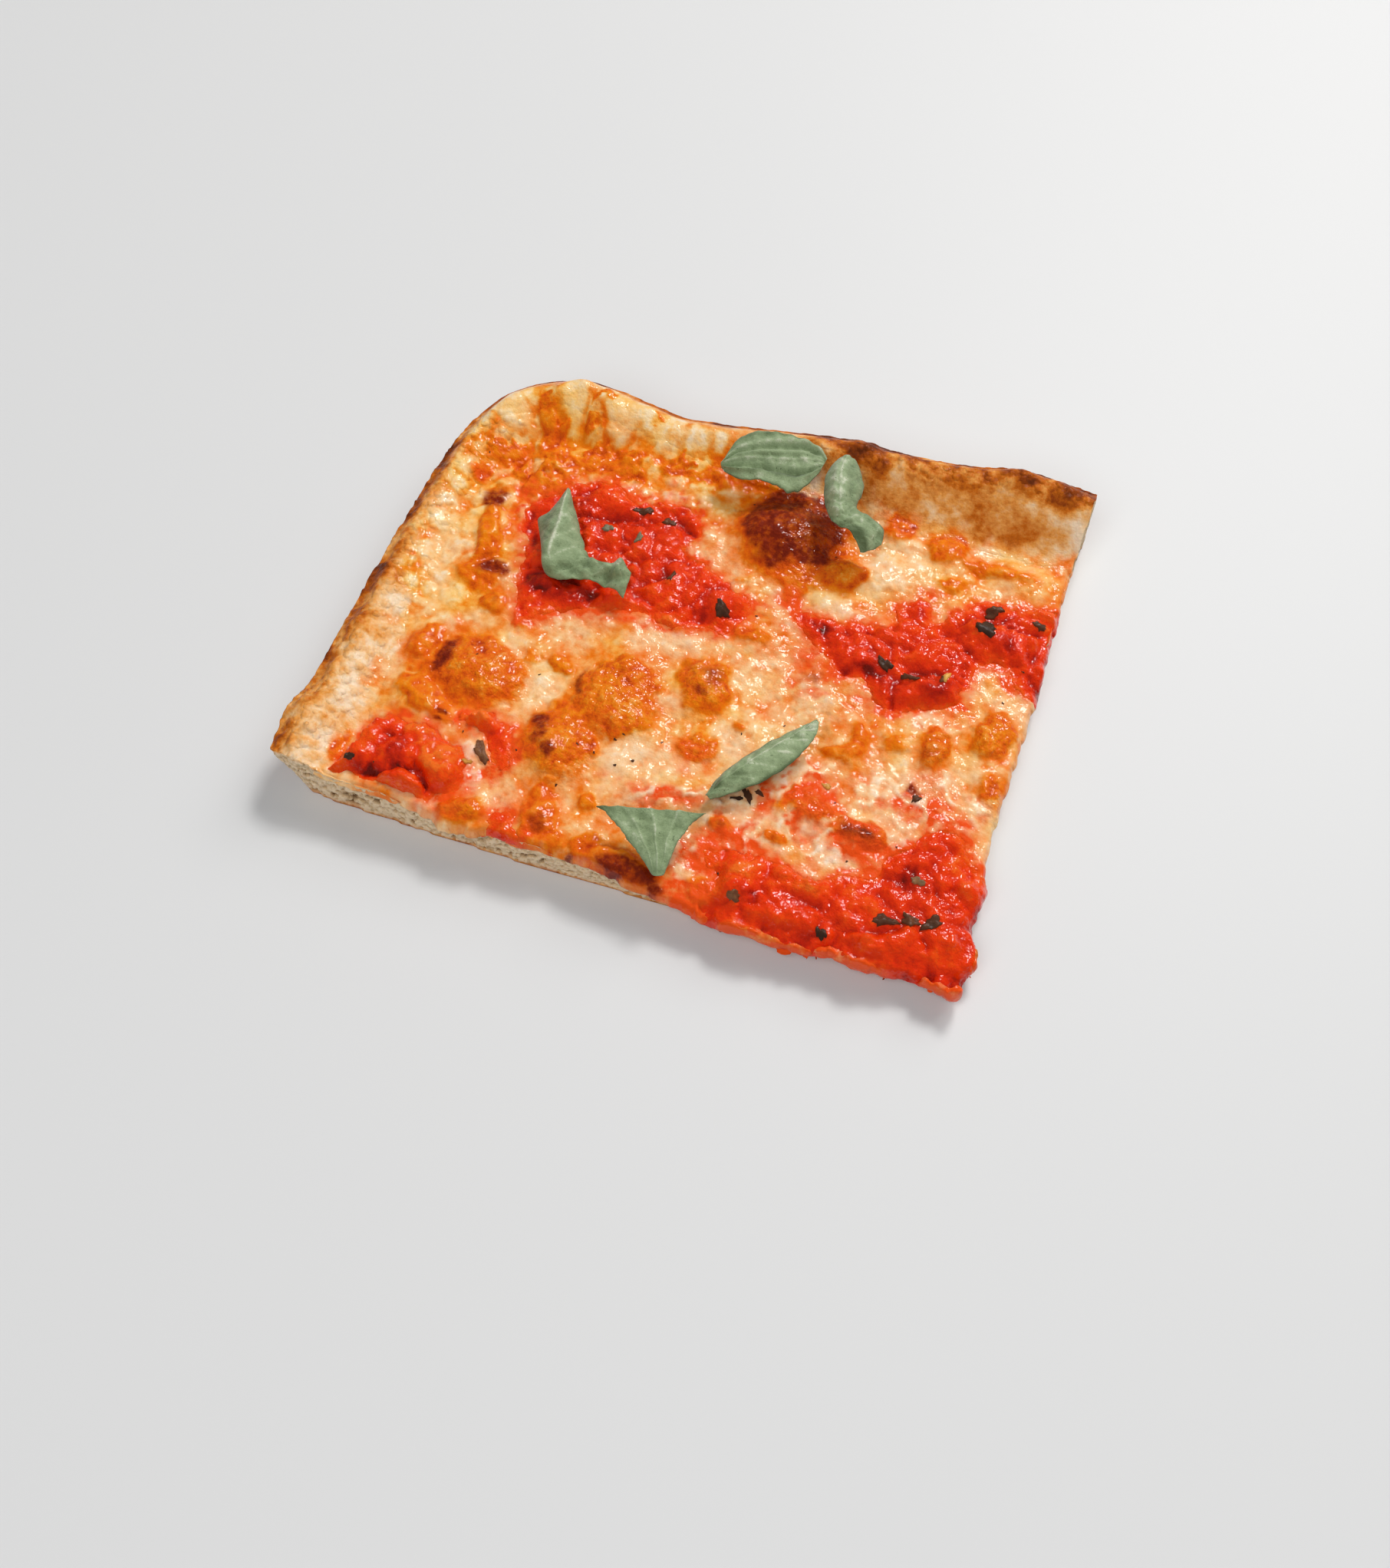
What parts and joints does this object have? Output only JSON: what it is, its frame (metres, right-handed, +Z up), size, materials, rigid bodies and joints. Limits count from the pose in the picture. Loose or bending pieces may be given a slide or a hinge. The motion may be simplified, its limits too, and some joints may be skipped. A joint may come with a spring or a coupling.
{
  "type": "grandma pizza slice",
  "caption": "Square-cut pan pizza slice with two raised crust edges, melted cheese, crushed tomato patches and torn basil leaves.",
  "frame": {"origin": "centre of the slice's box, on the flat base it rests on", "axes": "+X along the front cut from the crust edge to the right-hand cut, +Y from the front cut to the back crust, +Z up"},
  "size_m": [0.1298, 0.1124, 0.018],
  "materials": {
    "dough": "matt golden baked crust, browned at the edges, pale open crumb at the cuts",
    "cheese": "melted cheese, oily, cream to orange with brown blisters",
    "sauce": "wet crushed tomato with charred herb flakes",
    "basil": "matt wilted leaf with pale veins"
  },
  "bodies": {
    "root": {"dough": "dough", "cheese": "cheese", "sauce_front_left": "sauce", "sauce_small": "sauce", "sauce_wedge": "sauce", "sauce_back_left": "sauce", "sauce_right": "sauce", "sauce_front_right": "sauce", "basil_folded": "basil", "basil_pleated": "basil", "basil_twisted": "basil", "basil_slender": "basil", "basil_torn": "basil"}
  },
  "joints": []
}
